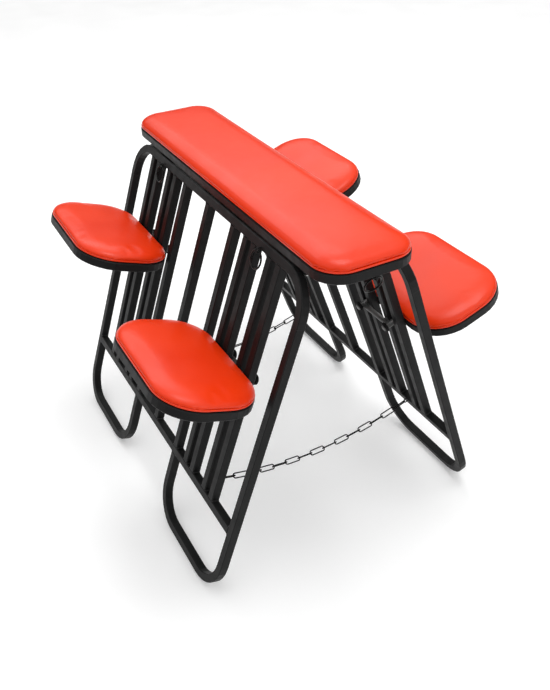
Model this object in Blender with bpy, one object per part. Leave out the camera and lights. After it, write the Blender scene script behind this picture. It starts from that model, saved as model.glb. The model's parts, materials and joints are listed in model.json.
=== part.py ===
"""A folding bench with a padded top, two leaning panels of square tube and four sliding padded platforms.

Metres, +Z up. X runs across the bench, Y along it, and the origin is on the floor under the middle.
Each panel has its own frame, an empty on its hinge axis: local X points out of the panel's outer face,
local Y along the top rail and local Z up the slope. In that frame "out" is a distance beyond the outer
face and "down" is a distance down the slope from the top of the top rail.
"""

import math

import bmesh
import bpy
from mathutils import Matrix, Vector

# The square tube, the bending radius of the panels and the platforms, and the tighter one of the top.
TUBE = 0.020
TUBE_CHAMFER = 0.0018
BEND_RADIUS = 0.078
TOP_BEND_RADIUS = 0.052
BEND_STEPS = 8
WELD_GAP = 0.0003

# A panel: its size on the slope, its lean from upright and where its outer face starts. Both panels
# stand a little to the rear of the middle that the top and the platforms share.
PANEL_LENGTH = 0.880
PANEL_SLOPE = 0.783
CORNER_DOWN = 0.100
LEAN = math.radians(19.43)
TOP_OUT = 0.1094
PANEL_SHIFT = 0.008
LOWER_RAIL_DOWN = 0.600
STUB_ALONG = 0.126
BARS_ALONG = (0.0, 0.126, 0.1855, 0.2215, 0.2875, 0.325)

# The hinge between each panel and the top frame.
HINGE_IN = 0.034
HINGE_DOWN = 0.012
HINGE_ALONG = 0.300
PIN_RADIUS = 0.004
HOLE_RADIUS = 0.0044
KNUCKLE_RADIUS = 0.008
KNUCKLE_LENGTH = 0.028
LUG_THICKNESS = 0.004
LUG_GAP = 0.001
BRACKET_TOP_THICKNESS = 0.004
BRACKET_REACH = 0.016
BRACKET_RIM = 0.001

# The top: a bent tube frame just above the rails, with its cushion on it. The panels stand on the
# chamfered inner edge of their floor runs, which sets the height of the rails.
RAIL_TOP = PANEL_SLOPE * math.cos(LEAN) + (TUBE - TUBE_CHAMFER) * math.sin(LEAN)
FRAME_LIFT = 0.0025
TOP_HALF_LENGTH = 0.481
TOP_HALF_WIDTH = 0.1065
TOP_CUSHION_HEIGHT = 0.024

# A side platform, square to its panel, and how far down the slope each one is set.
PLATFORM_ALONG = 0.255
PLATFORM_HALF_LENGTH = 0.176
PLATFORM_HALF_WIDTH = 0.112
PLATFORM_CLEARANCE = 0.0007
PLATFORM_CUSHION_HEIGHT = 0.023
PLATFORM_DOWN = {
    "left_front": 0.2775,
    "left_rear": 0.2057,
    "right_front": 0.2605,
    "right_rear": 0.1740,
}

# Its carrier: two round arms through the slits, joined by a rod behind the bars, with a collar wider
# than the slit on each arm's inner end.
ARM_RADIUS = 0.007
ARM_SPREAD = 0.0515
ARM_DOWN = 0.0125
ARM_REACH = 0.044
ROD_RADIUS = 0.006
ROD_IN = 0.0275
ROD_HALF_LENGTH = 0.055
COLLAR_RADIUS = 0.012
COLLAR_LENGTH = 0.007
COLLAR_IN = 0.0385

# Cushions: how far the cover stands inside its frame, and the round of its upper edge.
CUSHION_INSET = 0.0015
CUSHION_EDGE = 0.018
CUSHION_EDGE_STEPS = 3

# Wire eyes, the rings that hang in them and the chains between the lower rails.
EYE_RADIUS = 0.006
EYE_WIRE = 0.0015
EYE_OUT = 0.0033
RING_RADIUS = 0.0195
RING_WIRE = 0.002
RING_EYE_DOWN = 0.0215
RING_EYE_ALONG = (-0.2505, 0.2585)
END_EYE_IN = 0.005
END_RING_TILT = math.radians(20)
CHAIN_ALONG = 0.2545
CHAIN_EYE_DOWN = 0.596
CHAIN_EYE_IN = 0.0242
CHAIN_RADIUS = 0.007
CHAIN_SAG = 0.050
CHAIN_STEPS = 18

SIDES = {"left": -1, "right": 1}
ENDS = {"front": -1, "rear": 1}

# Turns a flat shape drawn in XY into the panel's own plane, its YZ plane.
INTO_PANEL = Matrix(((0, 0, 1, 0), (1, 0, 0, 0), (0, 1, 0, 0), (0, 0, 0, 1)))
ALONG_Y = Matrix.Rotation(math.radians(90), 4, "X")
FACING_X = Matrix.Rotation(math.radians(90), 4, "Y")


def clear_scene():
    for item in list(bpy.data.objects):
        bpy.data.objects.remove(item, do_unlink=True)


def new_collection(name):
    collection = bpy.data.collections.new(name)
    bpy.context.scene.collection.children.link(collection)
    return collection


def new_material(name, colour, roughness, metallic):
    material = bpy.data.materials.new(name)
    material.use_nodes = True
    shader = material.node_tree.nodes["Principled BSDF"]
    shader.inputs["Base Color"].default_value = (*colour, 1.0)
    shader.inputs["Roughness"].default_value = roughness
    shader.inputs["Metallic"].default_value = metallic
    return material


def add_part(name, mesh, material, parent=None, location=(0, 0, 0)):
    """One named piece of the bench, placed in its parent's frame."""
    part = bpy.data.objects.new(name, mesh)
    if not mesh.materials:
        mesh.materials.append(material)
    part.parent = parent
    part.location = location
    parts.objects.link(part)
    return part


def add_frame(name, location, rotation=(0, 0, 0), parent=None):
    """An empty that carries the pieces of one moving assembly."""
    frame = bpy.data.objects.new(name, None)
    frame.location = location
    frame.rotation_euler = rotation
    frame.parent = parent
    parts.objects.link(frame)
    return frame


def mesh_from(work, name):
    """Writes a bmesh to a new mesh whose round faces are smooth and whose corners stay sharp."""
    bmesh.ops.recalc_face_normals(work, faces=work.faces)
    mesh = bpy.data.meshes.new(name)
    work.to_mesh(mesh)
    work.free()
    mesh.shade_smooth()
    mesh.set_sharp_from_angle(angle=math.radians(30))
    return mesh


def mesh_from_curve(curve, name, matrix):
    """The evaluated curve as a closed mesh, with its caps welded on, moved by the matrix."""
    guide = bpy.data.objects.new(name, curve)
    parts.objects.link(guide)
    graph = bpy.context.evaluated_depsgraph_get()
    raw = bpy.data.meshes.new_from_object(guide.evaluated_get(graph))
    bpy.data.objects.remove(guide)
    work = bmesh.new()
    work.from_mesh(raw)
    bpy.data.meshes.remove(raw)
    bmesh.ops.remove_doubles(work, verts=work.verts, dist=1e-6)
    bmesh.ops.transform(work, matrix=matrix, verts=work.verts)
    return mesh_from(work, name)


def bent_path(corners, closed=False, radius=BEND_RADIUS):
    """A flat route through the corners, each one turned on the bending radius."""
    corners = [Vector(corner) for corner in corners]
    count = len(corners)
    points = []
    for index, corner in enumerate(corners):
        if not closed and index in (0, count - 1):
            points.append(corner)
            continue
        back = (corners[index - 1] - corner).normalized()
        ahead = (corners[(index + 1) % count] - corner).normalized()
        turn = math.pi - back.angle(ahead)
        centre = corner + (back + ahead).normalized() * radius / math.cos(turn / 2)
        spoke = corner + back * radius * math.tan(turn / 2) - centre
        way = math.copysign(turn, ahead.cross(back))
        for step in range(BEND_STEPS + 1):
            points.append(centre + Matrix.Rotation(way * step / BEND_STEPS, 2) @ spoke)
    return points


def tube_section():
    """The tube's square section with chamfered corners, which every tube is swept from."""
    flat = TUBE / 2
    inner = flat - TUBE_CHAMFER
    corners = [(flat, -inner), (flat, inner), (inner, flat), (-inner, flat)]
    corners += [(-flat, inner), (-flat, -inner), (-inner, -flat), (inner, -flat)]
    curve = bpy.data.curves.new("tube_section", "CURVE")
    spline = curve.splines.new("POLY")
    spline.points.add(len(corners) - 1)
    for point, corner in zip(spline.points, corners):
        point.co = (*corner, 0, 1)
    spline.use_cyclic_u = True
    section = bpy.data.objects.new("tube_section", curve)
    section.hide_render = True
    section.display_type = "WIRE"
    cutters.objects.link(section)
    return section


def tube_mesh(name, points, matrix, closed=False):
    """A square tube along a flat route in XY, then moved by the matrix."""
    curve = bpy.data.curves.new(name, "CURVE")
    curve.dimensions = "3D"
    curve.twist_mode = "Z_UP"
    curve.bevel_mode = "OBJECT"
    curve.bevel_object = section
    curve.use_fill_caps = not closed
    spline = curve.splines.new("POLY")
    spline.points.add(len(points) - 1)
    for target, point in zip(spline.points, points):
        target.co = (*point, 0, 1)
    spline.use_cyclic_u = closed
    return mesh_from_curve(curve, name, matrix)


def loop_corners(half_width, half_length, inset=0.0):
    across = half_width - inset
    along = half_length - inset
    return [(-across, -along), (across, -along), (across, along), (-across, along)]


def cushion_mesh(name, half_width, half_length, bend_radius, height):
    """A plain cushion on XY for a frame of that size and bend, with its upper edge rounded over."""
    corners = loop_corners(half_width, half_length, CUSHION_INSET)
    outline = bent_path(corners, closed=True, radius=bend_radius + TUBE / 2 - CUSHION_INSET)
    mesh = plate_mesh(name, outline, height, Matrix.Translation((0, 0, height / 2)))
    work = bmesh.new()
    work.from_mesh(mesh)
    bmesh.ops.dissolve_limit(work, angle_limit=0.01, verts=work.verts, edges=work.edges)
    rim = [edge for edge in work.edges if min(v.co.z for v in edge.verts) > height / 2]
    bmesh.ops.bevel(
        work,
        geom=rim,
        offset=CUSHION_EDGE,
        segments=CUSHION_EDGE_STEPS,
        profile=0.5,
        affect="EDGES",
    )
    bpy.data.meshes.remove(mesh)
    return mesh_from(work, name)


def box_mesh(name, low, high):
    low = Vector(low)
    high = Vector(high)
    work = bmesh.new()
    size = Matrix.Diagonal((*(high - low), 1))
    bmesh.ops.create_cube(work, size=1, matrix=Matrix.Translation((low + high) / 2) @ size)
    return mesh_from(work, name)


def plate_mesh(name, outline, thickness, matrix):
    """A flat plate of the outline in the matrix's own XY plane, centred on it."""
    curve = bpy.data.curves.new(name, "CURVE")
    curve.dimensions = "2D"
    curve.fill_mode = "BOTH"
    curve.extrude = thickness / 2
    spline = curve.splines.new("POLY")
    spline.points.add(len(outline) - 1)
    for target, point in zip(spline.points, outline):
        target.co = (*point, 0, 1)
    spline.use_cyclic_u = True
    return mesh_from_curve(curve, name, matrix)


def rod_mesh(name, radius, length, sides, matrix):
    """A round rod along the matrix's own Z, centred on it."""
    work = bmesh.new()
    bmesh.ops.create_cone(
        work,
        cap_ends=True,
        segments=sides,
        radius1=radius,
        radius2=radius,
        depth=length,
        matrix=matrix,
    )
    return mesh_from(work, name)


def ring_mesh(name, radius, wire, steps, sides, matrix):
    """A closed round ring in the matrix's own XY plane."""
    bpy.ops.mesh.primitive_torus_add(
        major_segments=steps, minor_segments=sides, major_radius=radius, minor_radius=wire
    )
    torus = bpy.context.object
    mesh = torus.data
    bpy.data.objects.remove(torus)
    mesh.name = name
    mesh.transform(matrix)
    mesh.shade_smooth()
    return mesh


def shape(part, mesh, operation):
    """Joins a mesh to a part, or cuts it away, in the part's own frame."""
    tool = bpy.data.objects.new(mesh.name, mesh)
    tool.parent = part
    tool.hide_render = True
    tool.display_type = "WIRE"
    cutters.objects.link(tool)
    modifier = part.modifiers.new(mesh.name, "BOOLEAN")
    modifier.operation = operation
    modifier.solver = "EXACT"
    modifier.object = tool


def in_panel(out, along, down):
    """A place on a panel, measured from its hinge axis as its frame needs it."""
    return Vector((out + HINGE_IN, along, HINGE_DOWN - down))


def eye_at(place, turn):
    return ring_mesh("eye", EYE_RADIUS, EYE_WIRE, 12, 6, Matrix.Translation(place) @ turn)


def hinge_axis(side):
    """The hinge's place across the bench and above the floor."""
    across = TOP_OUT + HINGE_DOWN * math.sin(LEAN) - HINGE_IN * math.cos(LEAN)
    height = RAIL_TOP - HINGE_DOWN * math.cos(LEAN) - HINGE_IN * math.sin(LEAN)
    return Vector((side * across, PANEL_SHIFT, height))


def in_world(side, out, along, down):
    """The same place in the bench's own frame, with the panel spread."""
    across = TOP_OUT + down * math.sin(LEAN) + out * math.cos(LEAN)
    height = RAIL_TOP - down * math.cos(LEAN) + out * math.sin(LEAN)
    return Vector((side * across, along + PANEL_SHIFT, height))


def add_top_rail(label, side, panel):
    """The top rail with both bent corners, the eyes for two rings and a knuckle at each hinge."""
    half = (PANEL_LENGTH - TUBE) / 2
    ends = (-half, -CORNER_DOWN), (half, -CORNER_DOWN)
    path = bent_path([ends[0], (-half, -TUBE / 2), (half, -TUBE / 2), ends[1]])
    matrix = Matrix.Translation(in_panel(-TUBE / 2, 0, 0)) @ INTO_PANEL
    name = f"{label}_top_rail"
    rail = add_part(name, tube_mesh(name, path, matrix), steel, panel)
    for along in RING_EYE_ALONG:
        eye_place = in_panel(EYE_OUT, side * along, RING_EYE_DOWN)
        shape(rail, eye_at(eye_place, ALONG_Y), "UNION")
    for along in (-HINGE_ALONG, HINGE_ALONG):
        at_hinge = Matrix.Translation((0, along, 0)) @ ALONG_Y
        half_length = KNUCKLE_LENGTH / 2
        low = (0, along - half_length + WELD_GAP, -KNUCKLE_RADIUS / 2)
        high = (HINGE_IN - TUBE / 2, along + half_length - WELD_GAP, KNUCKLE_RADIUS / 2)
        barrel = rod_mesh("knuckle", KNUCKLE_RADIUS, KNUCKLE_LENGTH, 20, at_hinge)
        hole = rod_mesh("knuckle_hole", HOLE_RADIUS, 2 * KNUCKLE_LENGTH, 16, at_hinge)
        shape(rail, box_mesh("knuckle_web", low, high), "UNION")
        shape(rail, barrel, "UNION")
        shape(rail, hole, "DIFFERENCE")


def add_legs(label, side, panel):
    """Each leg runs down to the foot bend, along the floor and up to the lower rail."""
    half = (PANEL_LENGTH - TUBE) / 2
    top = -(CORNER_DOWN + WELD_GAP)
    floor = TUBE / 2 - PANEL_SLOPE
    stub_top = -(LOWER_RAIL_DOWN + TUBE / 2 + WELD_GAP)
    matrix = Matrix.Translation(in_panel(-TUBE / 2, 0, 0)) @ INTO_PANEL
    for end, way in ENDS.items():
        leg_along = side * way * half
        stub_along = side * way * STUB_ALONG
        corners = [(leg_along, top), (leg_along, floor), (stub_along, floor), (stub_along, stub_top)]
        name = f"{label}_{end}_leg"
        add_part(name, tube_mesh(name, bent_path(corners), matrix), steel, panel)


def add_lower_rail(label, panel):
    """The lower rail between the legs, with an eye for each chain on its inner face."""
    half = PANEL_LENGTH / 2 - TUBE - WELD_GAP
    ends = [Vector((-half, -LOWER_RAIL_DOWN)), Vector((half, -LOWER_RAIL_DOWN))]
    matrix = Matrix.Translation(in_panel(-TUBE / 2, 0, 0)) @ INTO_PANEL
    name = f"{label}_lower_rail"
    rail = add_part(name, tube_mesh(name, ends, matrix), steel, panel)
    for along in (-CHAIN_ALONG, CHAIN_ALONG):
        eye_place = in_panel(-CHAIN_EYE_IN, along, CHAIN_EYE_DOWN)
        shape(rail, eye_at(eye_place, ALONG_Y), "UNION")


def add_bars(label, side, panel, bar):
    """Eleven upright bars that share one mesh, numbered from the front."""
    places = sorted({way * along for along in BARS_ALONG for way in (-1, 1)})
    for number, along in enumerate(places, 1):
        location = in_panel(-TUBE / 2, side * along, 0)
        add_part(f"{label}_bar_{number:02d}", bar, steel, panel, location)


def bar_mesh():
    top = -(TUBE + WELD_GAP)
    bottom = -(LOWER_RAIL_DOWN - TUBE / 2 - WELD_GAP)
    return tube_mesh("bar", [Vector((0, top)), Vector((0, bottom))], INTO_PANEL)


def platform_frame_mesh():
    """The bent tube loop under a side platform's cushion, with its upper face at zero."""
    corners = loop_corners(PLATFORM_HALF_WIDTH, PLATFORM_HALF_LENGTH, TUBE / 2)
    down = Matrix.Translation((0, 0, -TUBE / 2))
    return tube_mesh("platform_frame", bent_path(corners, closed=True), down, closed=True)


def add_carrier(name, frame):
    """The cross rod behind the bars, and the two arms through the slits with their collars."""
    rod_place = Matrix.Translation((-ROD_IN, 0, -ARM_DOWN)) @ ALONG_Y
    rod = rod_mesh(name, ROD_RADIUS, 2 * ROD_HALF_LENGTH, 16, rod_place)
    carrier = add_part(name, rod, steel, frame)
    arm_end = PLATFORM_CLEARANCE - WELD_GAP
    for way in (-1, 1):
        along = way * ARM_SPREAD
        arm_place = Matrix.Translation(((arm_end - ARM_REACH) / 2, along, -ARM_DOWN)) @ FACING_X
        arm = rod_mesh("arm", ARM_RADIUS, arm_end + ARM_REACH, 20, arm_place)
        collar_place = Matrix.Translation((-COLLAR_IN, along, -ARM_DOWN)) @ FACING_X
        collar = rod_mesh("collar", COLLAR_RADIUS, COLLAR_LENGTH, 24, collar_place)
        shape(carrier, arm, "UNION")
        shape(carrier, collar, "UNION")


def add_platforms(label, side, panel, loop, cushion):
    """Two side platforms, each with its frame, carrier and cushion in one sliding assembly."""
    out = PLATFORM_CLEARANCE + PLATFORM_HALF_WIDTH
    back_to_middle = -side * PANEL_SHIFT
    for end, way in ENDS.items():
        place = in_panel(0, side * way * PLATFORM_ALONG, PLATFORM_DOWN[f"{label}_{end}"])
        name = f"{label}_{end}_platform"
        slide = add_frame(f"{name}_slide", place, parent=panel)
        add_part(f"{name}_frame", loop, steel, slide, (out, back_to_middle, 0))
        add_part(f"{name}_cushion", cushion, vinyl, slide, (out, back_to_middle, WELD_GAP))
        add_carrier(f"{name}_carrier", slide)


def add_panel(label, side, bar, loop, cushion):
    turn = (0, -LEAN, 0 if side > 0 else math.pi)
    panel = add_frame(f"{label}_panel", hinge_axis(side), turn)
    add_top_rail(label, side, panel)
    add_legs(label, side, panel)
    add_lower_rail(label, panel)
    add_bars(label, side, panel, bar)
    add_platforms(label, side, panel, loop, cushion)


def add_panel_rings(label, side):
    """Two rings in their eyes against the panel's outer face; each turns about its eye's centre."""
    hang = Matrix.Translation((0, 0, -RING_RADIUS)) @ FACING_X
    ring = ring_mesh("panel_ring", RING_RADIUS, RING_WIRE, 20, 6, hang)
    for end, along in zip(ENDS, RING_EYE_ALONG):
        place = in_world(side, EYE_OUT, along, RING_EYE_DOWN)
        part = add_part(f"{label}_{end}_ring", ring, wire, location=place)
        part.rotation_euler = (0, -side * LEAN, 0)


def add_top(half_width, half_length):
    """The top frame with an eye under each end, its rings swung a little inwards, and its cushion."""
    corners = loop_corners(half_width, half_length, TUBE / 2)
    path = bent_path(corners, closed=True, radius=TOP_BEND_RADIUS)
    up = Matrix.Translation((0, 0, RAIL_TOP + FRAME_LIFT + TUBE / 2))
    frame = add_part("top_frame", tube_mesh("top_frame", path, up, closed=True), steel)
    base = RAIL_TOP + FRAME_LIFT + TUBE + WELD_GAP
    cushion = cushion_mesh(
        "top_cushion", half_width, half_length, TOP_BEND_RADIUS, TOP_CUSHION_HEIGHT
    )
    add_part("top_cushion", cushion, vinyl, location=(0, 0, base))
    hang = Matrix.Translation((0, 0, -RING_RADIUS)) @ ALONG_Y
    ring = ring_mesh("end_ring", RING_RADIUS, RING_WIRE, 20, 6, hang)
    for end, way in ENDS.items():
        place = Vector((0, way * (half_length - END_EYE_IN), RAIL_TOP + FRAME_LIFT - EYE_OUT))
        shape(frame, eye_at(place, FACING_X), "UNION")
        part = add_part(f"{end}_end_ring", ring, wire, location=place)
        part.rotation_euler = (-way * END_RING_TILT, 0, 0)


def lug_outline(height):
    """A lug with a round lower end about the pin, drawn with its height along Y."""
    outline = [Vector((KNUCKLE_RADIUS, height)), Vector((-KNUCKLE_RADIUS, height))]
    for step in range(BEND_STEPS + 1):
        angle = math.pi * (1 + step / BEND_STEPS)
        outline.append(KNUCKLE_RADIUS * Vector((math.cos(angle), math.sin(angle))))
    return outline


def add_hinge(label, end, side, way):
    """A bracket of two lugs under the top frame, and the pin through it and the rail's knuckle."""
    axis = hinge_axis(side) + Vector((0, way * HINGE_ALONG, 0))
    under_frame = RAIL_TOP + FRAME_LIFT - WELD_GAP - axis.z
    inner = KNUCKLE_LENGTH / 2 + LUG_GAP
    outer = inner + LUG_THICKNESS
    inboard = -side * (KNUCKLE_RADIUS + BRACKET_RIM)
    reach = sorted((inboard, side * BRACKET_REACH))
    low = (reach[0], -outer - BRACKET_RIM, under_frame - BRACKET_TOP_THICKNESS)
    high = (reach[1], outer + BRACKET_RIM, under_frame)
    name = f"{label}_{end}_hinge"
    bracket = add_part(f"{name}_bracket", box_mesh("bracket", low, high), steel, None, axis)
    lug = lug_outline(under_frame - BRACKET_TOP_THICKNESS / 2)
    for lug_way in (-1, 1):
        middle = Matrix.Translation((0, lug_way * (inner + outer) / 2, 0)) @ ALONG_Y
        shape(bracket, plate_mesh("lug", lug, LUG_THICKNESS, middle), "UNION")
    shape(bracket, rod_mesh("lug_hole", HOLE_RADIUS, 4 * outer, 16, ALONG_Y), "DIFFERENCE")
    pin = rod_mesh("pin", PIN_RADIUS, 2 * outer + LUG_THICKNESS, 16, ALONG_Y)
    add_part(f"{name}_pin", pin, bare_steel, None, axis)


def add_chain(end, way):
    """A chain as a plain tube of its links' width, hanging between two eyes and clear of both."""
    right = in_world(1, -CHAIN_EYE_IN, way * CHAIN_ALONG, CHAIN_EYE_DOWN)
    reach = right.x - EYE_RADIUS - EYE_WIRE - WELD_GAP
    curve = bpy.data.curves.new(f"{end}_chain", "CURVE")
    curve.dimensions = "3D"
    curve.bevel_depth = CHAIN_RADIUS
    curve.bevel_resolution = 2
    curve.use_fill_caps = True
    curve.materials.append(wire)
    spline = curve.splines.new("POLY")
    spline.points.add(CHAIN_STEPS)
    for step, point in enumerate(spline.points):
        across = reach * (2 * step / CHAIN_STEPS - 1)
        drop = CHAIN_SAG * (1 - (across / right.x) ** 2)
        point.co = (across, right.y, right.z - drop, 1)
    chain = bpy.data.objects.new(f"{end}_chain", curve)
    parts.objects.link(chain)


clear_scene()
parts = new_collection("folding_bench")
cutters = new_collection("cutters")
cutters.hide_render = True
steel = new_material("black_steel", (0.015, 0.014, 0.015), 0.38, 0.0)
vinyl = new_material("red_vinyl", (0.80, 0.045, 0.015), 0.42, 0.0)
wire = new_material("dark_wire", (0.10, 0.10, 0.10), 0.30, 1.0)
bare_steel = new_material("bare_steel", (0.45, 0.45, 0.46), 0.30, 1.0)
section = tube_section()

add_top(TOP_HALF_WIDTH, TOP_HALF_LENGTH)
shared_bar = bar_mesh()
shared_loop = platform_frame_mesh()
shared_cushion = cushion_mesh(
    "platform_cushion",
    PLATFORM_HALF_WIDTH,
    PLATFORM_HALF_LENGTH,
    BEND_RADIUS,
    PLATFORM_CUSHION_HEIGHT,
)
for side_label, side_way in SIDES.items():
    add_panel(side_label, side_way, shared_bar, shared_loop, shared_cushion)
    add_panel_rings(side_label, side_way)
    for end_label, end_way in ENDS.items():
        add_hinge(side_label, end_label, side_way, end_way)
for end_label, end_way in ENDS.items():
    add_chain(end_label, end_way)
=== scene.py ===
"""The looks of the folding padded bench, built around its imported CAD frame.

Metres, +Z up: X across the bench, Y along it, the origin on the floor under the middle. A panel's own
frame is turned with the panel: local X points out of its outer face, Y along it and Z up the slope.
"""

import json
import math
import random

import bmesh
import bpy
from mathutils import Matrix, Vector


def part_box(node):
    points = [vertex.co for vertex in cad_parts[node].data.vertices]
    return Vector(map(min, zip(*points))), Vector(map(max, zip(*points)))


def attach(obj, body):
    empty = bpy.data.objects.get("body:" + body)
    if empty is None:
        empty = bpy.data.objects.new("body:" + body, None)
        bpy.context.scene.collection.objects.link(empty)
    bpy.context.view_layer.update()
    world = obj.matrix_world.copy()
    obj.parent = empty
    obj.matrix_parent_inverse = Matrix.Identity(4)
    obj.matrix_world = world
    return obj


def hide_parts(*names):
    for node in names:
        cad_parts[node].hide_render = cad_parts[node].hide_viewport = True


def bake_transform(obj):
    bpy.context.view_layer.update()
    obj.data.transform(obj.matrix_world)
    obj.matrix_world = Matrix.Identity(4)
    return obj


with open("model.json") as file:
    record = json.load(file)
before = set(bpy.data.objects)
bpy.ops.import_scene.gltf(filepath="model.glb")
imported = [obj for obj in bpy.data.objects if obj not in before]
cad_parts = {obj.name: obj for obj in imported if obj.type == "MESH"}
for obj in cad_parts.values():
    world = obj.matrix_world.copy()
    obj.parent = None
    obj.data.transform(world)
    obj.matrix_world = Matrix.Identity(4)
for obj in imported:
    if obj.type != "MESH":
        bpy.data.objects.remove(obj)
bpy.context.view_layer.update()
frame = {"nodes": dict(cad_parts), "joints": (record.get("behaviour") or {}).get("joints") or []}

# The viewpoint, and the lens for a 36 mm sensor on the picture's longer side.
CAMERA_PLACE = (-0.7394, -1.4803, 1.4693)
CAMERA_AZIMUTH = math.radians(-27.71)
CAMERA_ELEVATION = math.radians(35.19)
CAMERA_ROLL = math.radians(-1.89)
CAMERA_LENS = 40.88

# The square tube that every frame is bent from, and the outer corners of the loops under the cushions.
TUBE = 0.020
TOP_CORNER = 0.062
PLATFORM_CORNER = 0.088

# The chains: where their eyes sit on the panels, how far they sag, how far from an eye the first link
# starts, how finely their curve is stepped and what a link measures.
CHAIN_EYE_HEIGHT = 0.1743
CHAIN_EYE_ACROSS = 0.2849
CHAIN_SAG = 0.050
CHAIN_START = 0.0033
CHAIN_STEPS = 400
LINK_COUNT = 16
LINK_WIRE = 0.0016
LINK_HALF_WIDTH = 0.0058
LINK_CORNER = 0.0045
LINK_TURN = math.radians(38)
LINK_JITTER = math.radians(16)

# Cushions: a recessed board, the band of cover wrapped round its edge, and the dome of foam above. The
# dome starts a little low, swells as its cover is inflated and crowns above its plain CAD solid.
BOARD_HEIGHT = 0.0022
BOARD_INSET = 0.0040
BAND_TOP = 0.0062
BAND_DEPTH = 0.0040
BAND_ROUND = 0.0006
DOME_REACH = 0.040
COVER_SLACK = 0.002
COVER_CROWN = 0.0035
COVER_VOXEL = 0.004
COVER_PRESSURE = 3.0
COVER_SWELL = 0.003
COVER_STIFFNESS = 40.0
COVER_FRAMES = 20
PINNED_HEIGHT = 0.0015
PUCKER_DEPTH = 0.0005
PUCKER_COUNT = 44
PUCKER_FADE = 0.006

# Under a cushion: the dust cover inside the frame's opening, its staples and the frame's screws.
DUST_COVER_MARGIN = 0.009
DUST_COVER_THICKNESS = 0.0012
DUST_COVER_SLOPE = 0.012
DUST_COVER_WAVE = 0.3 * DUST_COVER_THICKNESS
DUST_COVER_WAVES = 400
STAPLE_SPACING = 0.034
STAPLE_INSET = 0.006
STAPLE_CROWN = 0.010
STAPLE_LEG = 0.0008
STAPLE_BOW = 0.0004
STAPLE_WIRE = 0.0005
SCREW_RADIUS = 0.0055
SCREW_HEIGHT = 0.0032

# A platform's carrier, measured from where the panel's outer face meets the platform's upper face. The
# rods' chamfer is a share of their radius.
PLATFORM_CLEARANCE = 0.0007
ARM_RADIUS = 0.007
ARM_SPREAD = 0.0515
ARM_DOWN = 0.0125
ARM_REACH = 0.044
ARM_WELD = 0.0006
ROD_RADIUS = 0.006
ROD_IN = 0.0275
ROD_CHAMFER = 0.15
ROD_HALF_LENGTH = ARM_SPREAD - 0.6 * ARM_RADIUS
COLLAR_RADIUS = 0.012
COLLAR_BORE = 0.0072
COLLAR_LENGTH = 0.007
COLLAR_IN = 0.0385
COLLAR_ROUND = 0.0012
GROOVE_HALF_WIDTH = 0.0008
GROOVE_DEPTH = 0.0007

# The fillet between an arm and the cross rod, as (distance from the arm, thickness over the rod) steps.
ROD_FILLET = ((-0.0010, 0.0012), (0.0005, 0.0010), (0.0022, 0.0002))

# Rings, and how much a ring's or link's wire thickens at its weld.
RING_RADIUS = 0.0195
RING_WIRE = 0.002
WELD_THICKENING = 0.22

# Weld beads along the tubes: their ripples, the taper at their ends and how much a step's size varies.
BAR_COUNT = 11
BEAD_RADIUS = 0.0024
BEAD_LUMPS = 7
BEAD_RIPPLE = 0.13
BEAD_END = 0.55
BEAD_TAPER = 3
BEAD_JITTER = 0.08
BEAD_INSET = 0.001

# A leg's stub ends on its panel's lower rail, nearer the bench's middle than this. Two points lie on the
# same face if they are this close.
STUB_REACH = 0.200
SAME_FACE = 0.001

# The studio: a floor and a round wall with a little glow of their own, and a world whose strength rises
# with the height of the way looked in, which is 0 at the horizon and 1 overhead.
FLOOR_SIZE = 60
FLOOR_GLOW = 0.22
BACKDROP_RADIUS = 14.0
BACKDROP_HEIGHT = 12.0
BACKDROP_GLOW = 0.55
WORLD_DARK_BELOW = 0.28
WORLD_BRIGHT_ABOVE = 0.70
WORLD_DARK = 0.04
WORLD_BRIGHT = 1.10

# Where smooth shading stops at a corner.
SHARP_ANGLE = math.radians(40)

# The Mix node's colour sockets, which share their names with its sockets for plain values.
MIX_COLOURS_IN = (6, 7)
MIX_COLOUR_OUT = 2

X_AXIS = Vector((1, 0, 0))
Y_AXIS = Vector((0, 1, 0))
Z_AXIS = Vector((0, 0, 1))
SIDES = ("left", "right")
ENDS = ("front", "rear")
PLATFORMS = [f"{side}_{end}_platform" for side in SIDES for end in ENDS]


# Camera, light and floor.


def add_camera():
    """The photograph's viewpoint: turned about Z, tilted down and rolled a little."""
    camera = bpy.data.objects.new("camera", bpy.data.cameras.new("camera"))
    camera.data.lens = CAMERA_LENS
    turn = Matrix.Rotation(CAMERA_AZIMUTH, 4, "Z")
    tilt = Matrix.Rotation(math.pi / 2 - CAMERA_ELEVATION, 4, "X")
    roll = Matrix.Rotation(CAMERA_ROLL, 4, "Z")
    camera.matrix_world = Matrix.Translation(CAMERA_PLACE) @ turn @ tilt @ roll
    bpy.context.scene.collection.objects.link(camera)
    bpy.context.scene.camera = camera


def add_softbox(name, place, target, width, height, watts):
    """A rectangular lamp that faces its target and that the camera doesn't see."""
    light = bpy.data.lights.new(name, "AREA")
    light.shape = "RECTANGLE"
    light.size = width
    light.size_y = height
    light.energy = watts
    lamp = bpy.data.objects.new(name, light)
    lamp.location = place
    way = Vector(target) - Vector(place)
    lamp.rotation_euler = way.to_track_quat("-Z", "Y").to_euler()
    lamp.visible_camera = False
    bpy.context.scene.collection.objects.link(lamp)


def add_lights():
    """One softbox behind the bench for its sheen, one in front of it and one over it."""
    top = (0, 0, 0.8)
    knees = (0, 0, 0.4)
    add_softbox("back_softbox", (0.8, 3.0, 3.3), top, width=3.0, height=2.0, watts=40)
    add_softbox("front_softbox", (0.9, -3.4, 2.3), knees, width=3.0, height=2.0, watts=25)
    add_softbox("top_softbox", (0.3, -0.2, 3.2), top, width=1.2, height=1.2, watts=24)


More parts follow.
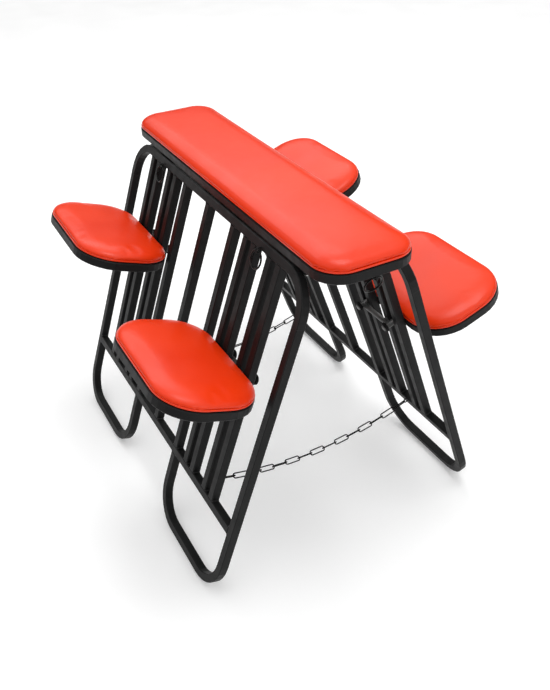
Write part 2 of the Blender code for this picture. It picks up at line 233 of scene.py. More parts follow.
def add_surroundings():
    """A studio that is dark near the horizon and bright overhead, as a ceiling of soft light is."""
    world = bpy.data.worlds.new("studio")
    world.use_nodes = True
    tree = world.node_tree
    background = tree.nodes["Background"]
    background.inputs["Color"].default_value = (1.0, 1.0, 1.0, 1.0)
    direction = tree.nodes.new("ShaderNodeTexCoord")
    parts = tree.nodes.new("ShaderNodeSeparateXYZ")
    height = tree.nodes.new("ShaderNodeMapRange")
    height.inputs["From Min"].default_value = WORLD_DARK_BELOW
    height.inputs["From Max"].default_value = WORLD_BRIGHT_ABOVE
    height.inputs["To Min"].default_value = WORLD_DARK
    height.inputs["To Max"].default_value = WORLD_BRIGHT
    tree.links.new(direction.outputs["Generated"], parts.inputs["Vector"])
    tree.links.new(parts.outputs["Z"], height.inputs["Value"])
    tree.links.new(height.outputs["Result"], background.inputs["Strength"])
    bpy.context.scene.world = world
    bpy.context.scene.view_settings.view_transform = "Standard"


def add_floor():
    """A wide pale floor, with a little glow of its own so that it stays white far off."""
    work = bmesh.new()
    bmesh.ops.create_grid(work, x_segments=4, y_segments=4, size=FLOOR_SIZE)
    finish = studio_material("studio_floor", FLOOR_GLOW)
    tint(finish, noise(finish, 3.0, 2.0), (0.86, 0.86, 0.86), (0.90, 0.90, 0.90))
    add_piece("floor", finish_mesh(work, "floor", finish))


def add_backdrop():
    """A pale round wall behind the floor, seen from low viewpoints, which lights and mirrors nothing."""
    work = bmesh.new()
    base = round_section(Vector((0, 0, 0)), X_AXIS, Y_AXIS, BACKDROP_RADIUS, 64)
    lower = [work.verts.new(point) for point in base]
    upper = [work.verts.new(point + BACKDROP_HEIGHT * Z_AXIS) for point in base]
    join_loops(work, lower, upper)
    finish = studio_material("studio_backdrop", BACKDROP_GLOW)
    tint(finish, noise(finish, 0.6, 2.0), (0.52, 0.52, 0.52), (0.56, 0.56, 0.56))
    backdrop = add_piece("backdrop", finish_mesh(work, "backdrop", finish))
    backdrop.visible_diffuse = False
    backdrop.visible_glossy = False
    backdrop.visible_shadow = False


# Materials. Each one varies over the surface by its place on the piece, in metres.


def new_material(name, values):
    """A material whose shader has these values on its own sockets."""
    material = bpy.data.materials.new(name)
    material.use_nodes = True
    shader = material.node_tree.nodes["Principled BSDF"]
    for socket, value in values.items():
        shader.inputs[socket].default_value = value
    return material


def studio_material(name, glow):
    """A matt white that glows a little."""
    values = {
        "Roughness": 0.9,
        "Specular IOR Level": 0.1,
        "Emission Color": (1.0, 1.0, 1.0, 1.0),
        "Emission Strength": glow,
    }
    return new_material(name, values)


def shader_input(material, socket):
    return material.node_tree.nodes["Principled BSDF"].inputs[socket]


def place_on_piece(material):
    """The coordinates that every texture of the material reads."""
    nodes = material.node_tree.nodes
    coordinates = nodes.get("Texture Coordinate") or nodes.new("ShaderNodeTexCoord")
    return coordinates.outputs["Object"]


def noise(material, scale, detail, stretch=(1, 1, 1)):
    """Noise with that many cells a metre, from 0 to 1."""
    tree = material.node_tree
    mapping = tree.nodes.new("ShaderNodeMapping")
    mapping.inputs["Scale"].default_value = stretch
    texture = tree.nodes.new("ShaderNodeTexNoise")
    texture.inputs["Scale"].default_value = scale
    texture.inputs["Detail"].default_value = detail
    tree.links.new(place_on_piece(material), mapping.inputs["Vector"])
    tree.links.new(mapping.outputs["Vector"], texture.inputs["Vector"])
    return texture.outputs["Fac"]


def cells(material, scale):
    """The distance from the nearest cell's middle, with that many cells a metre."""
    tree = material.node_tree
    texture = tree.nodes.new("ShaderNodeTexVoronoi")
    texture.inputs["Scale"].default_value = scale
    tree.links.new(place_on_piece(material), texture.inputs["Vector"])
    return texture.outputs["Distance"]


def spread(material, value, low, high, new_low=0.0, new_high=1.0):
    """Maps low to high onto a new range, clamped."""
    tree = material.node_tree
    node = tree.nodes.new("ShaderNodeMapRange")
    node.inputs["From Min"].default_value = low
    node.inputs["From Max"].default_value = high
    node.inputs["To Min"].default_value = new_low
    node.inputs["To Max"].default_value = new_high
    tree.links.new(value, node.inputs["Value"])
    return node.outputs["Result"]


def blend_colours(material, factor, first, second):
    """Mixes two colours, each a value or another node's output."""
    tree = material.node_tree
    node = tree.nodes.new("ShaderNodeMix")
    node.data_type = "RGBA"
    tree.links.new(factor, node.inputs["Factor"])
    for socket, colour in zip(MIX_COLOURS_IN, (first, second)):
        if isinstance(colour, tuple):
            node.inputs[socket].default_value = (*colour, 1.0)
        else:
            tree.links.new(colour, node.inputs[socket])
    return node.outputs[MIX_COLOUR_OUT]


def tint(material, value, first, second):
    """Colours the surface from the first colour to the second as the noise value rises."""
    colour = blend_colours(material, spread(material, value, 0.35, 0.65), first, second)
    material.node_tree.links.new(colour, shader_input(material, "Base Color"))
    return colour


def vary_roughness(material, value, low, high):
    """Roughness from low to high as the noise value rises."""
    result = spread(material, value, 0.3, 0.7, low, high)
    material.node_tree.links.new(result, shader_input(material, "Roughness"))


def add_relief(material, value, depth, strength):
    """A bump of that depth in metres, on top of the relief that is already there."""
    tree = material.node_tree
    node = tree.nodes.new("ShaderNodeBump")
    node.inputs["Strength"].default_value = strength
    node.inputs["Distance"].default_value = depth
    tree.links.new(value, node.inputs["Height"])
    normal = shader_input(material, "Normal")
    if normal.is_linked:
        tree.links.new(normal.links[0].from_socket, node.inputs["Normal"])
    tree.links.new(node.outputs["Normal"], normal)


def edge_mask(material, radius, strongest):
    """Rises towards 1 where the surface turns within the radius, to lighten an edge for rubbed paint and
    a painted highlight.
    """
    tree = material.node_tree
    rounded = tree.nodes.new("ShaderNodeBevel")
    rounded.samples = 4
    rounded.inputs["Radius"].default_value = radius
    geometry = tree.nodes.new("ShaderNodeNewGeometry")
    alike = tree.nodes.new("ShaderNodeVectorMath")
    alike.operation = "DOT_PRODUCT"
    tree.links.new(rounded.outputs["Normal"], alike.inputs[0])
    tree.links.new(geometry.outputs["Normal"], alike.inputs[1])
    return spread(material, alike.outputs["Value"], 1.0, strongest)


def vinyl_material():
    """Soft upholstery vinyl: fine leather grain, faint waves in the foam below and uneven sheen."""
    material = new_material("red_vinyl", {"Specular IOR Level": 0.30})
    tint(material, noise(material, 5.0, 3.0), (0.74, 0.030, 0.001), (0.80, 0.038, 0.002))
    vary_roughness(material, noise(material, 16.0, 3.0), 0.30, 0.38)
    add_relief(material, noise(material, 22.0, 2.0), depth=0.0012, strength=0.25)
    add_relief(material, cells(material, 900.0), depth=0.00012, strength=0.30)
    add_relief(material, noise(material, 1600.0, 2.0), depth=0.00005, strength=0.30)
    return material


def steel_material():
    """Satin black powder coat: orange-peel texture, a little dust, and edges lightened partly for rubbed
    paint and partly as a painted highlight.
    """
    material = new_material("black_steel", {"Specular IOR Level": 0.12})
    coat = tint(material, noise(material, 9.0, 4.0), (0.0070, 0.0070, 0.0071), (0.0105, 0.0105, 0.0106))
    # Lighter edges: partly rubbed paint, partly a painted highlight standing in for light caught on the
    # tubes' corners.
    edges = edge_mask(material, radius=0.0012, strongest=0.80)
    rubbed_and_highlit_edges = blend_colours(material, edges, coat, (0.035, 0.035, 0.035))
    material.node_tree.links.new(rubbed_and_highlit_edges, shader_input(material, "Base Color"))
    vary_roughness(material, noise(material, 45.0, 4.0), 0.36, 0.50)
    add_relief(material, noise(material, 420.0, 2.0), depth=0.00010, strength=0.35)
    add_relief(material, noise(material, 1800.0, 2.0), depth=0.00003, strength=0.25)
    return material


def weld_material():
    """The same black coat over a weld: glossier on the ripples, with darker hollows."""
    material = new_material("painted_weld", {"Specular IOR Level": 0.30})
    tint(material, noise(material, 300.0, 3.0), (0.008, 0.008, 0.008), (0.018, 0.018, 0.018))
    vary_roughness(material, noise(material, 200.0, 3.0), 0.30, 0.45)
    add_relief(material, noise(material, 900.0, 3.0), depth=0.00015, strength=0.5)
    return material


def wire_material():
    """Dark plated wire, for rings and chains, with rubbed patches where they touch."""
    material = new_material("dark_wire", {"Metallic": 1.0})
    tint(material, noise(material, 60.0, 4.0), (0.006, 0.006, 0.006), (0.028, 0.027, 0.026))
    vary_roughness(material, noise(material, 90.0, 3.0), 0.26, 0.46)
    add_relief(material, noise(material, 1200.0, 3.0), depth=0.00004, strength=0.4)
    return material


def bare_steel_material():
    """Zinc-plated fasteners: a fine turned grain and dull patches."""
    material = new_material("plated_steel", {"Metallic": 1.0})
    tint(material, noise(material, 120.0, 3.0), (0.36, 0.36, 0.35), (0.50, 0.50, 0.49))
    vary_roughness(material, noise(material, 250.0, 3.0), 0.26, 0.42)
    add_relief(material, noise(material, 1500.0, 2.0, (1, 12, 1)), depth=0.00003, strength=0.4)
    return material


def rod_material():
    """The carrier rods: thinner paint over drawn steel, rubbed lighter where it slides."""
    material = new_material("rubbed_rod", {"Specular IOR Level": 0.5})
    tint(material, noise(material, 55.0, 4.0, (1, 0.3, 1)), (0.070, 0.070, 0.068), (0.120, 0.120, 0.117))
    vary_roughness(material, noise(material, 150.0, 3.0), 0.30, 0.42)
    add_relief(material, noise(material, 700.0, 3.0, (1, 0.2, 1)), depth=0.00005, strength=0.4)
    return material


def rubber_material():
    """Moulded black rubber bushes with a chalky bloom."""
    material = new_material("black_rubber", {"Specular IOR Level": 0.12})
    tint(material, noise(material, 80.0, 4.0), (0.003, 0.003, 0.003), (0.007, 0.007, 0.007))
    vary_roughness(material, noise(material, 110.0, 3.0), 0.55, 0.75)
    add_relief(material, noise(material, 1300.0, 3.0), depth=0.00006, strength=0.5)
    return material


def dust_cover_material():
    """Black non-woven cloth: matted fibres and a faint square emboss."""
    material = new_material("dust_cover_cloth", {"Sheen Weight": 0.3, "Specular IOR Level": 0.2})
    tint(material, noise(material, 260.0, 5.0), (0.008, 0.008, 0.009), (0.030, 0.030, 0.032))
    vary_roughness(material, noise(material, 90.0, 3.0), 0.80, 0.95)
    add_relief(material, noise(material, 950.0, 5.0), depth=0.00025, strength=0.7)
    add_relief(material, cells(material, 420.0), depth=0.00020, strength=0.4)
    return material


# Shapes.


def finish_mesh(work, name, material):
    """Writes a bmesh to a new smooth-shaded mesh with its corners sharp."""
    bmesh.ops.recalc_face_normals(work, faces=work.faces)
    mesh = bpy.data.meshes.new(name)
    work.to_mesh(mesh)
    work.free()
    mesh.shade_smooth()
    mesh.set_sharp_from_angle(angle=SHARP_ANGLE)
    mesh.materials.append(material)
    return mesh


def add_piece(name, mesh, matrix=Matrix.Identity(4)):
    piece = bpy.data.objects.new(name, mesh)
    piece.matrix_world = matrix
    bpy.context.scene.collection.objects.link(piece)
    return piece


def join_loops(work, first, second):
    """Faces between two loops of as many vertices."""
    for index in range(len(first)):
        ahead = (index + 1) % len(first)
        work.faces.new((first[index], first[ahead], second[ahead], second[index]))


def skin(work, rings, closed=False):
    """Joins rings of points into one surface, closed on itself or capped at both ends."""
    loops = [[work.verts.new(point) for point in ring] for ring in rings]
    following = loops[1:] + loops[:1] if closed else loops[1:]
    for first, second in zip(loops, following):
        join_loops(work, first, second)
    if not closed:
        work.faces.new(reversed(loops[0]))
        work.faces.new(loops[-1])


def round_section(centre, across, up, radius, sides):
    """A circle of points in the plane of across and up."""
    angles = (2 * math.pi * step / sides for step in range(sides))
    return [centre + radius * (math.cos(a) * across + math.sin(a) * up) for a in angles]


def turned_rings(profile, sides, matrix):
    """Circles about the matrix's Z, from (height, radius) steps."""
    across = matrix.to_3x3() @ X_AXIS
    up = matrix.to_3x3() @ Y_AXIS
    rings = []
    for height, radius in profile:
        rings.append(round_section(matrix @ (height * Z_AXIS), across, up, radius, sides))
    return rings


def turned(work, profile, sides, matrix):
    """A solid turned form about the matrix's Z, from (height, radius) steps."""
    skin(work, turned_rings(profile, sides, matrix))


def wire_loop(work, path, wire, sides, matrix, weld_at):
    """A closed loop of round wire along a flat path in XY, thickened a little at its weld."""
    count = len(path)
    rings = []
    for index, point in enumerate(path):
        way = (path[(index + 1) % count] - path[index - 1]).normalized()
        outward = Vector((way.y, -way.x, 0))
        from_weld = min((index - weld_at) % count, (weld_at - index) % count)
        radius = wire * (1 + WELD_THICKENING * math.exp(-from_weld**2))
        ring = round_section(point, outward, Z_AXIS, radius, sides)
        rings.append([matrix @ place for place in ring])
    skin(work, rings, closed=True)


def rounded_outline(half_width, half_length, corner, steps):
    """A rounded rectangle in XY, anticlockwise."""
    points = []
    centres = [(1, 1, 0), (-1, 1, 90), (-1, -1, 180), (1, -1, 270)]
    for way_x, way_y, start in centres:
        centre = Vector((way_x * (half_width - corner), way_y * (half_length - corner), 0))
        for step in range(steps + 1):
            angle = math.radians(start + 90 * step / steps)
            points.append(centre + corner * Vector((math.cos(angle), math.sin(angle), 0)))
    return points


# Places taken from the CAD.


def panel_turn(side):
    """A panel's rotation: its slides' axis gives the lean."""
    slide = next(j for j in frame["joints"] if j["name"] == f"{side}_front_platform_slide")
    lean = math.asin(abs(slide["axis"][0]))
    facing = math.pi if side == "left" else 0.0
    return Matrix.Rotation(facing, 4, "Z") @ Matrix.Rotation(-lean, 4, "Y")


def turned_points(node, turn):
    """A node's corners in a turned frame."""
    back = turn.inverted()
    return [back @ vertex.co for vertex in frame["nodes"][node].data.vertices]


def turned_box(node, turn):
    """A node's lowest and highest corners in a turned frame."""
    points = turned_points(node, turn)
    low = Vector(min(point[axis] for point in points) for axis in range(3))
    high = Vector(max(point[axis] for point in points) for axis in range(3))
    return low, high


def base_frame(node, turn):
    """A frame on the middle of a node's underside, and the node's size in it."""
    low, high = turned_box(node, turn)
    middle = Vector(((low.x + high.x) / 2, (low.y + high.y) / 2, low.z))
    return turn @ Matrix.Translation(middle), high - low


def turn_of(name):
    """The rotation of the panel that a node or body is named for, or none."""
    side = name.split("_")[0]
    return panel_turn(side) if side in SIDES else Matrix.Identity(4)


# Chains.


def chain_point(share, way):
    """A point on a chain's curve, from its left eye at 0 to its right eye at 1."""
    across = CHAIN_EYE_ACROSS * (2 * share - 1)
    drop = CHAIN_SAG * (1 - (across / CHAIN_EYE_ACROSS) ** 2)
    low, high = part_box(f"{way}_chain")
    return Vector((across, (low.y + high.y) / 2, CHAIN_EYE_HEIGHT - drop))


def curve_length(points):
    return sum((second - first).length for first, second in zip(points, points[1:]))


def point_at(points, distance):
    """The point that far along a fine polyline, and the way it runs there."""
    for first, second in zip(points, points[1:]):
        step = (second - first).length
        if distance <= step:
            return first.lerp(second, distance / step), (second - first).normalized()
        distance -= step
    return points[-1], (points[-1] - points[-2]).normalized()


def link_place(route, along, twist):
    """A link's frame that far along the chain, its X along the chain and its Y level before the twist."""
    middle, tangent = point_at(route, along)
    sideways = tangent.cross(Z_AXIS).normalized()
    turn = Matrix((tangent, sideways, tangent.cross(sideways))).transposed().to_4x4()
    return Matrix.Translation(middle) @ turn @ Matrix.Rotation(twist, 4, "X")


def chain_halves(route, way):
    """The chain's links, each turned a quarter from the last and a little at random."""
    pitch = (curve_length(route) - 2 * CHAIN_START - 2 * LINK_WIRE) / LINK_COUNT
    half_length = pitch / 2 + LINK_WIRE
    outline = rounded_outline(half_length, LINK_HALF_WIDTH, LINK_CORNER, steps=5)
    chance = random.Random(way)
    halves = {"left": bmesh.new(), "right": bmesh.new()}
    for number in range(LINK_COUNT):
        along = CHAIN_START + LINK_WIRE + pitch * (number + 0.5)
        twist = LINK_TURN + number * math.pi / 2 + chance.uniform(-LINK_JITTER, LINK_JITTER)
        side = "left" if number < LINK_COUNT / 2 else "right"
        place = link_place(route, along, twist)
        wire_loop(halves[side], outline, LINK_WIRE, 10, place, weld_at=9)
    return halves


def add_chain(way):
    """One chain, as two halves that meet under the middle of the bench, a half on each panel's side."""
    route = [chain_point(step / CHAIN_STEPS, way) for step in range(CHAIN_STEPS + 1)]
    for side, work in chain_halves(route, way).items():
        name = f"{way}_chain_{side}_half"
        piece = add_piece(name, finish_mesh(work, name, dark_wire))
        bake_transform(piece)
        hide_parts(f"{way}_chain")


# Cushions.


def cover_form(half_width, half_length, corner, height):
    """The dome before it is inflated: rings that climb from its base to a flat crown."""
    work = bmesh.new()
    rings = []
    steps = 9
    for step in range(steps + 1):
        angle = math.pi / 2 * step / steps
        inset = DOME_REACH * (1 - math.cos(angle))
        ring = rounded_outline(half_width - inset, half_length - inset, corner - inset, steps=12)
        rings.append([point + height * math.sin(angle) * Z_AXIS for point in ring])
    skin(work, rings)
    return finish_mesh(work, "cover_form", red_vinyl)


def evaluated_mesh(piece):
    """A new mesh of the piece as its modifiers leave it."""
    graph = bpy.context.evaluated_depsgraph_get()
    return bpy.data.meshes.new_from_object(piece.evaluated_get(graph))


def fine_form(mesh):
    """The form remeshed into even small faces."""
    piece = add_piece("cover_form", mesh)
    remesh = piece.modifiers.new("fine", "REMESH")
    remesh.mode = "VOXEL"
    remesh.voxel_size = COVER_VOXEL
    result = evaluated_mesh(piece)
    bpy.data.objects.remove(piece)
    return result


def add_cloth(piece):
    """Cloth that is blown up from inside, without gravity, and held at its base."""
    pinned = piece.vertex_groups.new(name="pinned")
    base = [v.index for v in piece.data.vertices if v.co.z < PINNED_HEIGHT]
    pinned.add(base, 1.0, "REPLACE")
    cloth = piece.modifiers.new("foam", "CLOTH")
    cloth.settings.vertex_group_mass = "pinned"
    cloth.settings.use_pressure = True
    cloth.settings.uniform_pressure_force = COVER_PRESSURE
    cloth.settings.tension_stiffness = COVER_STIFFNESS
    cloth.settings.compression_stiffness = COVER_STIFFNESS
    cloth.settings.bending_stiffness = COVER_STIFFNESS
    cloth.settings.effector_weights.gravity = 0.0
    cloth.settings.quality = 4
    cloth.point_cache.frame_start = 1
    cloth.point_cache.frame_end = COVER_FRAMES


def inflate(mesh):
    """Swells the cover over its foam by cloth simulation, its base held flat on the board."""
    piece = add_piece("cover_cloth", mesh)
    start = [vertex.co.copy() for vertex in mesh.vertices]
    add_cloth(piece)
    for number in range(1, COVER_FRAMES + 1):
        bpy.context.scene.frame_set(number)
    swollen = evaluated_mesh(piece)
    bpy.context.scene.frame_set(1)
    bpy.data.objects.remove(piece)
    for vertex, place in zip(swollen.vertices, start):
        move = vertex.co - place
        vertex.co = place + move * COVER_SWELL / (COVER_SWELL + move.length)
    return swollen


def pucker(mesh, half_width, half_length, corner):
    """Gathers the cover in small folds round each corner, fading above the base."""
    for vertex in mesh.vertices:
        across = abs(vertex.co.x) - (half_width - corner)
        along = abs(vertex.co.y) - (half_length - corner)
        if across <= 0 or along <= 0 or vertex.co.z < PINNED_HEIGHT:
            continue
        angle = math.atan2(along, across)
        fold = math.sin(PUCKER_COUNT * angle) * math.sin(2 * angle)
        depth = PUCKER_DEPTH * fold * math.exp(-vertex.co.z / PUCKER_FADE)
        way = Vector((vertex.co.x, vertex.co.y, 0)).normalized()
        vertex.co += way * depth


def fit_height(mesh, height):
    """Scales the crown so that the cushion keeps its height."""
    tallest = max(vertex.co.z for vertex in mesh.vertices)
    for vertex in mesh.vertices:
        vertex.co.z *= height / tallest


def cover_mesh(name, half_width, half_length, corner, height):
    """The cover over its foam, with its base at zero."""
    mesh = fine_form(cover_form(half_width, half_length, corner, height - COVER_SLACK))
    mesh = inflate(mesh)
    fit_height(mesh, height)
    pucker(mesh, half_width, half_length, corner)
    mesh.name = name
    mesh.shade_smooth()
    mesh.materials.clear()
    mesh.materials.append(red_vinyl)
    return mesh


def edge_mesh(name, half_width, half_length, corner, section, material):
    """A flat band or plate edge all round a cushion, from its section as (inset, height) steps."""
    work = bmesh.new()
    rings = []
    for inset, height in section:
        ring = rounded_outline(half_width - inset, half_length - inset, corner - inset, steps=16)
        rings.append([point + height * Z_AXIS for point in ring])
    skin(work, rings, closed=True)
    return finish_mesh(work, name, material)


def band_section():
    """The cover's wrapped edge: upright outside, a little rounded above and below."""
    return [
        (BAND_DEPTH, BOARD_HEIGHT),
        (BAND_ROUND, BOARD_HEIGHT),
        (0, BOARD_HEIGHT + BAND_ROUND),
        (0, BAND_TOP - BAND_ROUND),
        (BAND_ROUND, BAND_TOP),
        (BAND_DEPTH, BAND_TOP),
    ]


def board_section():
    """The board's own edge, set back under the band."""
    inner = BOARD_INSET + TUBE
    return [(inner, 0.0), (BOARD_INSET, 0.0), (BOARD_INSET, BOARD_HEIGHT), (inner, BOARD_HEIGHT)]


def dust_cover_mesh(half_width, half_length, corner):
    """The cloth under the board, a thin sheet that dips a little between its staples."""
    work = bmesh.new()
    rings = []
    for inset, layers in ((0, 0), (0, 1), (DUST_COVER_SLOPE, 2)):
        points = rounded_outline(half_width - inset, half_length - inset, corner - inset, steps=10)
        for point in points:
            point.z = DUST_COVER_WAVE * math.sin(DUST_COVER_WAVES * (point.x + point.y))
            point.z -= layers * DUST_COVER_THICKNESS
        rings.append(points)
    skin(work, rings)
    return finish_mesh(work, "dust_cover", dust_cloth)


def staple(work, place):
    """One staple's crown, bent down at both ends."""
    half = STAPLE_CROWN / 2
    shoulder = half * 0.9
    steps = [
        (-half, STAPLE_LEG),
        (-shoulder, -STAPLE_BOW / 2),
        (0, -STAPLE_BOW),
        (shoulder, -STAPLE_BOW / 2),
        (half, STAPLE_LEG),
    ]
    across = place.to_3x3() @ Y_AXIS
    up = place.to_3x3() @ Z_AXIS
    rings = []
    for along, height in steps:
        rings.append(round_section(place @ Vector((along, 0, height)), across, up, STAPLE_WIRE, 6))
    skin(work, rings)


def staples_mesh(half_width, half_length, corner):
    """A row of staples all round the dust cover."""
    work = bmesh.new()
    inset = STAPLE_INSET
    path = rounded_outline(half_width - inset, half_length - inset, corner - inset, steps=10)
    path.append(path[0])
    length = curve_length(path)
    count = round(length / STAPLE_SPACING)
    for number in range(count):
        point, way = point_at(path, length * number / count)
        turn = Matrix.Rotation(math.atan2(way.y, way.x), 4, "Z")
        staple(work, Matrix.Translation(point - 2 * DUST_COVER_THICKNESS * Z_AXIS) @ turn)
    return finish_mesh(work, "staples", plated_steel)


def screw(work, place):
    """A button-head screw with a socket, its head pointing down the matrix's Z."""
    rim = SCREW_HEIGHT * 0.3
    socket_floor = SCREW_HEIGHT * 0.35
    socket_radius = SCREW_RADIUS * 0.45
    profile = [
        (0, SCREW_RADIUS),
        (rim, SCREW_RADIUS),
        (SCREW_HEIGHT * 0.8, SCREW_RADIUS * 0.8),
        (SCREW_HEIGHT, SCREW_RADIUS * 0.55),
        (SCREW_HEIGHT, socket_radius),
        (socket_floor, socket_radius),
    ]
    turned(work, profile, 18, place @ Matrix.Rotation(math.pi, 4, "X"))


def screws_mesh(half_width, half_length, corner, rows):
    """Screws up through the frame's tube into the board, in pairs along its two long sides."""
    work = bmesh.new()
    across = half_width - TUBE / 2
    for row in range(rows):
        along = (half_length - 1.5 * corner) * (2 * row / (rows - 1) - 1)
        for way in (-1, 1):
            screw(work, Matrix.Translation((way * across, along, 0)))
    return finish_mesh(work, "screws", plated_steel)


def add_cushion(name, body, cushion_node, frame_node, meshes):
    """A cushion's dome and edge, and under it the dust cover, the staples and the frame's screws."""
    turn = turn_of(name)
    place, _ = base_frame(cushion_node, turn)
    dome_base = place @ Matrix.Translation((0, 0, BAND_TOP))
    cover = add_piece(f"{name}_cover", meshes["cover"], dome_base)
    smooth = cover.modifiers.new("smooth", "SUBSURF")
    smooth.levels = 1
    smooth.render_levels = 1
    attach(cover, body)
    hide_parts(cushion_node)
    under, _ = base_frame(frame_node, turn)
    for part, slot, where in (
        ("band", "red_vinyl", place),
        ("board", "black_steel", place),
        ("dust_cover", "black_steel", place),
        ("staples", "bare_steel", place),
        ("screws", "bare_steel", under),
    ):
        piece = add_piece(f"{name}_{part}", meshes[part], where)
        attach(piece, body)


def cushion_meshes(name, cushion_node, frame_node, corner, screw_rows):
    """Every mesh that cushions of one size share. The corner is the frame's outer one."""
    turn = turn_of(cushion_node)
    _, size = base_frame(cushion_node, turn)
    _, loop = base_frame(frame_node, turn)
    edge = (size.x / 2, size.y / 2, corner - (loop.x - size.x) / 2)
    under = [measure - TUBE - DUST_COVER_MARGIN for measure in edge]
    return {
        "cover": cover_mesh(f"{name}_cover", *edge, size.z - BAND_TOP + COVER_CROWN),
        "band": edge_mesh("band", *edge, band_section(), red_vinyl),
        "board": edge_mesh("board", *edge, board_section(), black_rubber),
        "dust_cover": dust_cover_mesh(*under),
        "staples": staples_mesh(*under),
        "screws": screws_mesh(*edge, screw_rows),
    }


# Carriers.


def carrier_frame(platform):
    """A frame where the panel's outer face meets the level of the platform frame's upper face."""
    turn = turn_of(platform)
    low, high = turned_box(f"{platform}_frame", turn)
    left_arm, right_arm = turned_box(f"{platform}_carrier", turn)
    between_arms = (left_arm.y + right_arm.y) / 2
    return turn @ Matrix.Translation((low.x - PLATFORM_CLEARANCE, between_arms, high.z))


def rod_profile(start, end, radius):
    """A rod with small chamfered ends, as (height, radius) steps."""
    chamfer = radius * ROD_CHAMFER
    return [
        (start, radius - chamfer),
        (start + chamfer, radius),
        (end - chamfer, radius),
        (end, radius - chamfer),
    ]


def carrier_mesh():
    """Two arms with fillet welds to the frame, and the cross rod welded between them."""
    work = bmesh.new()
    inward = Matrix.Rotation(math.radians(-90), 4, "Y")
    along_y = Matrix.Rotation(math.radians(-90), 4, "X")
    for way in (-1, 1):
        base = Matrix.Translation((PLATFORM_CLEARANCE, way * ARM_SPREAD, -ARM_DOWN)) @ inward
        turned(work, rod_profile(0, ARM_REACH + PLATFORM_CLEARANCE, ARM_RADIUS), 24, base)
        bead = [(0, ARM_RADIUS + ARM_WELD), (ARM_WELD / 2, ARM_RADIUS + ARM_WELD), (ARM_WELD, ARM_RADIUS)]
        turned(work, bead, 24, base)
    rod_place = Matrix.Translation((-ROD_IN, 0, -ARM_DOWN)) @ along_y
    turned(work, rod_profile(-ROD_HALF_LENGTH, ROD_HALF_LENGTH, ROD_RADIUS), 20, rod_place)
    for way in (-1, 1):
        foot = way * (ARM_SPREAD - ARM_RADIUS)
        fillet = [(foot - way * away, ROD_RADIUS + thickness) for away, thickness in ROD_FILLET]
        turned(work, fillet, 20, rod_place)
    return finish_mesh(work, "carrier", rubbed_rod)


def bushes_mesh():
    """A rubber bush on each arm's inner end: a thick ring with a groove round it."""
    work = bmesh.new()
    inward = Matrix.Rotation(math.radians(-90), 4, "Y")
    half = COLLAR_LENGTH / 2
    section = [
        (-half, COLLAR_BORE),
        (-half, COLLAR_RADIUS - COLLAR_ROUND),
        (-half + COLLAR_ROUND, COLLAR_RADIUS),
        (-GROOVE_HALF_WIDTH, COLLAR_RADIUS),
        (0, COLLAR_RADIUS - GROOVE_DEPTH),
        (GROOVE_HALF_WIDTH, COLLAR_RADIUS),
        (half - COLLAR_ROUND, COLLAR_RADIUS),
        (half, COLLAR_RADIUS - COLLAR_ROUND),
        (half, COLLAR_BORE),
    ]
    for way in (-1, 1):
        place = Matrix.Translation((-COLLAR_IN, way * ARM_SPREAD, -ARM_DOWN)) @ inward
        skin(work, turned_rings(section, 28, place), closed=True)
    return finish_mesh(work, "bushes", black_rubber)


def add_carriers():
    """The same rods and bushes at every platform, in place of its plain carrier."""
    carrier = carrier_mesh()
    bushes = bushes_mesh()
    for platform in PLATFORMS:
        place = carrier_frame(platform)
        for part, mesh in (("carrier_rods", carrier), ("carrier_bushes", bushes)):
            piece = add_piece(f"{platform}_{part}", mesh, place)
            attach(piece, platform)
            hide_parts(f"{platform}_carrier")


# Rings.


def ring_mesh():
    """A wire ring in the YZ plane, hanging from the origin."""
    work = bmesh.new()
    nearly_round = RING_RADIUS * 0.999
    path = rounded_outline(RING_RADIUS, RING_RADIUS, nearly_round, steps=12)
    hang = Matrix.Translation((0, 0, -RING_RADIUS)) @ Matrix.Rotation(math.radians(90), 4, "Y")
    wire_loop(work, path, RING_WIRE, 14, hang, weld_at=5)
    return finish_mesh(work, "ring", dark_wire)


def end_ring_turn(body, pivot):
    """An end ring's turn, with the swing that its CAD solid rests at."""
    low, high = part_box(body)
    swing = math.atan2((low.y + high.y) / 2 - pivot[1], pivot[2] - (low.z + high.z) / 2)
    return Matrix.Rotation(swing, 4, "X") @ Matrix.Rotation(math.radians(90), 4, "Z")


def add_rings():
    """Every ring hangs from its joint's axis, which its CAD solid turns about."""
    ring = ring_mesh()
    for joint in frame["joints"]:
        if not joint["name"].endswith("_ring_swing"):
            continue
        body = joint["child"]
        if body.split("_")[1] == "end":
            turn = end_ring_turn(body, joint["pos_m"])
        else:
            turn = turn_of(body)
        piece = add_piece(f"{body}_wire", ring, Matrix.Translation(joint["pos_m"]) @ turn)
        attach(piece, body)
        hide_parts(body)


# Welds.


def weld_bead(work, start, end, chance):
    """A rippled bead of weld between two points."""
    way = (end - start).normalized()
    across = way.orthogonal().normalized()
    up = way.cross(across)
    steps = BEAD_LUMPS * 4
    rings = []
    for step in range(steps + 1):
        share = step / steps
        ripple = 1 + BEAD_RIPPLE * math.cos(2 * math.pi * BEAD_LUMPS * share)
        taper = min(1, BEAD_END + BEAD_TAPER * min(share, 1 - share))
        radius = BEAD_RADIUS * ripple * taper * chance.uniform(1 - BEAD_JITTER, 1 + BEAD_JITTER)
        rings.append(round_section(start.lerp(end, share), across, up, radius, 8))
    skin(work, rings)


def joint_welds(work, turn, faces, alongs, heights, chance):
    """A bead between a tube's inner and outer faces, at each place along the panel and each height."""
    inner, outer = faces
    for along in alongs:
        for height in heights:
            start = turn @ Vector((inner + BEAD_INSET, along, height))
            end = turn @ Vector((outer - BEAD_INSET, along, height))
            weld_bead(work, start, end, chance)


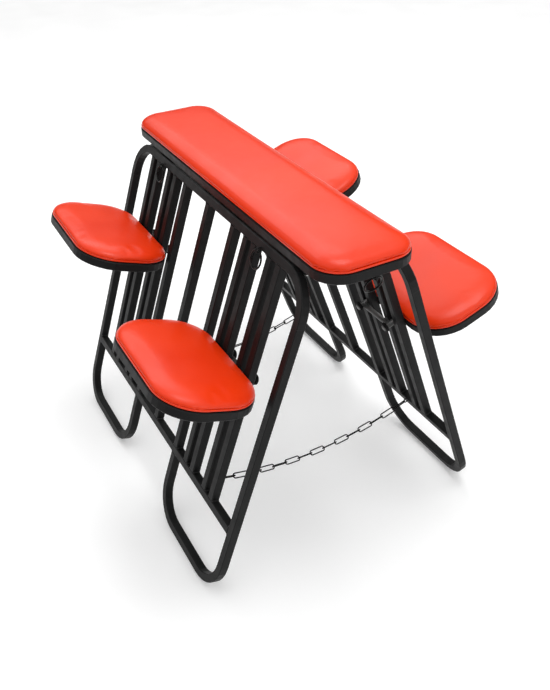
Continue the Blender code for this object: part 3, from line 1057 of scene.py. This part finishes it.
def bar_welds(work, side, turn, chance):
    """Both sides of each bar's two ends, where it meets a rail."""
    for number in range(1, BAR_COUNT + 1):
        low, high = turned_box(f"{side}_bar_{number:02d}", turn)
        joint_welds(work, turn, (low.x, high.x), (low.y, high.y), (low.z, high.z), chance)


def rail_welds(work, side, turn, chance):
    """The lower rail's ends on the legs, and the stubs' ends on the lower rail."""
    low, high = turned_box(f"{side}_lower_rail", turn)
    faces = (high.x - TUBE, high.x)
    joint_welds(work, turn, faces, (low.y, high.y), (low.z, high.z), chance)
    for end in ENDS:
        corners = turned_points(f"{side}_{end}_leg", turn)
        on_rail = [p for p in corners if abs(p.z - low.z) < SAME_FACE and abs(p.y) < STUB_REACH]
        stub = [point.y for point in on_rail]
        joint_welds(work, turn, faces, (min(stub), max(stub)), (low.z,), chance)


def add_welds():
    """Every bead of a panel, as one piece."""
    for side in SIDES:
        work = bmesh.new()
        chance = random.Random(side)
        turn = panel_turn(side)
        bar_welds(work, side, turn, chance)
        rail_welds(work, side, turn, chance)
        name = f"{side}_panel_welds"
        piece = add_piece(name, finish_mesh(work, name, painted_weld))
        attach(piece, f"{side}_panel")


# Carried-over CAD nodes.


def dress_cad_nodes():
    """Gives every CAD solid that still shows its real finish."""
    for name, node in frame["nodes"].items():
        if node.hide_render:
            continue
        finish = plated_steel if name.endswith("_pin") else black_steel
        node.data.materials.clear()
        node.data.materials.append(finish)


red_vinyl = vinyl_material()
black_steel = steel_material()
painted_weld = weld_material()
dark_wire = wire_material()
plated_steel = bare_steel_material()
rubbed_rod = rod_material()
black_rubber = rubber_material()
dust_cloth = dust_cover_material()

add_camera()
for chain_end in ENDS:
    add_chain(chain_end)

top_meshes = cushion_meshes("top", "top_cushion", "top_frame", TOP_CORNER, screw_rows=3)
add_cushion("top", "root", "top_cushion", "top_frame", top_meshes)
platform_meshes = cushion_meshes(
    "platform",
    "left_front_platform_cushion",
    "left_front_platform_frame",
    PLATFORM_CORNER,
    screw_rows=2,
)
for platform_name in PLATFORMS:
    add_cushion(
        platform_name,
        platform_name,
        f"{platform_name}_cushion",
        f"{platform_name}_frame",
        platform_meshes,
    )
add_carriers()
add_rings()
add_welds()
dress_cad_nodes()
add_surroundings()
add_lights()
add_floor()
add_backdrop()
